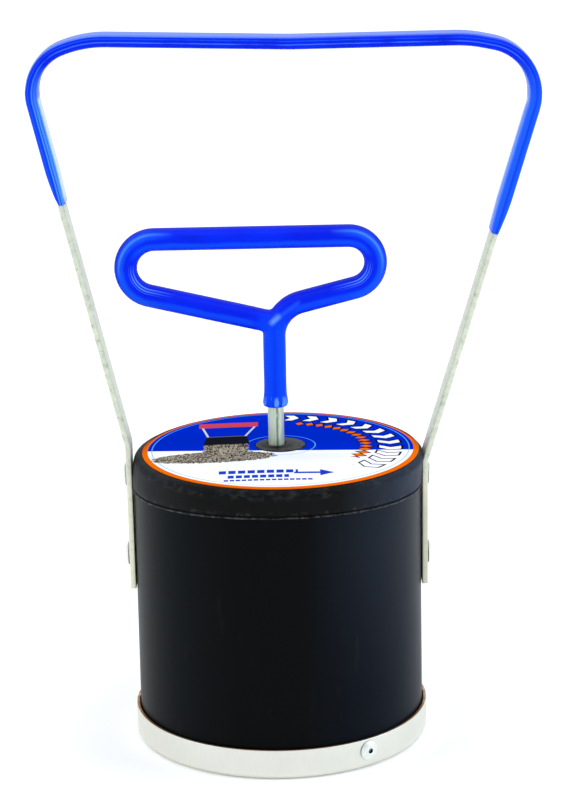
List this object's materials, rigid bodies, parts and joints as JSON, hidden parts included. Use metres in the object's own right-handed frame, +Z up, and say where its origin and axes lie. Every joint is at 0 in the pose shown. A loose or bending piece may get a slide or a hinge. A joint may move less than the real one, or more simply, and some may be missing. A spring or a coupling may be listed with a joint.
{
  "type": "magnetic parts lifter",
  "caption": "Black plastic can with a metal pan, a coated carrying bail and a sliding T-handle that lifts a hidden magnet off the pan to release what it picked up.",
  "frame": {"origin": "on the can's axis at the underside of the pan", "axes": "+Z up along the can's axis, +X towards the right leg of the bail, -Y towards the front"},
  "size_m": [0.1979, 0.1176, 0.2831],
  "materials": {
    "black_plastic": "black, satin, faint drawn lines",
    "cap_vinyl": "black, soft moulded, slightly scuffed",
    "pan_sheet": "pale satin sheet",
    "rivet_metal": "satin",
    "label_print": "printed film, blue and white with an orange rim",
    "zinc_strap": "zinc plated, dull, greenish",
    "blue_vinyl": "dipped vinyl, cobalt blue, glossy",
    "plated_steel": "zinc plated, bright",
    "ferrite": "dark grey, ground",
    "rubber": "black"
  },
  "bodies": {
    "housing": {"housing_tube": "black_plastic", "base_pan": "pan_sheet", "pan_rivet_right": "rivet_metal", "pan_rivet_left": "rivet_metal", "end_cap": "cap_vinyl", "top_label": "label_print", "rod_bushing": "black_plastic", "bushing_retainer": "plated_steel", "bail_strap": "zinc_strap", "bail_sleeve": "blue_vinyl", "strap_rivet_left_upper": "rivet_metal", "strap_rivet_left_lower": "rivet_metal", "strap_rivet_right_upper": "rivet_metal", "strap_rivet_right_lower": "rivet_metal"},
    "magnet_carrier": {"magnet_ring": "ferrite", "pole_plate": "plated_steel", "upper_washer": "plated_steel", "lower_washer": "plated_steel"},
    "handle": {"lift_rod": "plated_steel", "handle_grip": "blue_vinyl", "upper_nut": "plated_steel", "lower_nut": "plated_steel", "stop_collar": "plated_steel", "collar_screw": "plated_steel", "stop_bumper": "rubber"}
  },
  "joints": [
    {"name": "lift", "type": "slide", "parent": "housing", "child": "magnet_carrier", "axis": [0, 0, 1], "range_m": [0, 0.055]},
    {"name": "handle_turn", "type": "hinge", "parent": "magnet_carrier", "child": "handle", "pos_m": [0, 0, 0.12], "axis": [0, 0, 1], "continuous": true}
  ]
}
